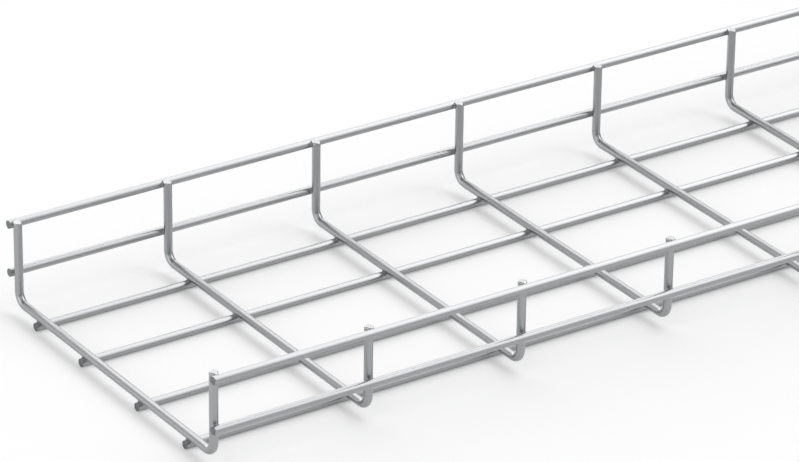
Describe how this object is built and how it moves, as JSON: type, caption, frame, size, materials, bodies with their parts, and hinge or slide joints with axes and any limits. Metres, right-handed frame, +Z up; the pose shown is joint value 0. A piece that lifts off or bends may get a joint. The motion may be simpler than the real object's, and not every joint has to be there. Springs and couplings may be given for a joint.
{
  "type": "wire mesh cable basket",
  "caption": "Straight length of open wire mesh cable tray: straight line wires welded to U-bent cross wires, forming a shallow open-topped channel that carries cables.",
  "frame": {"origin": "middle of the outline's plan, on the plane that the floor wires rest on", "axes": "+X along the tray, +Y across it to the left side, +Z up out of the open top"},
  "size_m": [3.002, 0.2224, 0.0567],
  "materials": {
    "line_wire": "bright zinc plate, satin",
    "cross_wire": "bright zinc plate, satin"
  },
  "bodies": {
    "root": {"floor_wire_1": "line_wire", "floor_wire_2": "line_wire", "floor_wire_3": "line_wire", "floor_wire_4": "line_wire", "right_side_wire_low": "line_wire", "right_side_wire_top": "line_wire", "left_side_wire_low": "line_wire", "left_side_wire_top": "line_wire", "cross_wire_01": "cross_wire", "cross_wire_02": "cross_wire", "cross_wire_03": "cross_wire", "cross_wire_04": "cross_wire", "cross_wire_05": "cross_wire", "cross_wire_06": "cross_wire", "cross_wire_07": "cross_wire", "cross_wire_08": "cross_wire", "cross_wire_09": "cross_wire", "cross_wire_10": "cross_wire", "cross_wire_11": "cross_wire", "cross_wire_12": "cross_wire", "cross_wire_13": "cross_wire", "cross_wire_14": "cross_wire", "cross_wire_15": "cross_wire", "cross_wire_16": "cross_wire", "cross_wire_17": "cross_wire", "cross_wire_18": "cross_wire", "cross_wire_19": "cross_wire", "cross_wire_20": "cross_wire", "cross_wire_21": "cross_wire", "cross_wire_22": "cross_wire", "cross_wire_23": "cross_wire", "cross_wire_24": "cross_wire", "cross_wire_25": "cross_wire", "cross_wire_26": "cross_wire", "cross_wire_27": "cross_wire", "cross_wire_28": "cross_wire", "cross_wire_29": "cross_wire", "cross_wire_30": "cross_wire", "cross_wire_31": "cross_wire"}
  },
  "joints": []
}
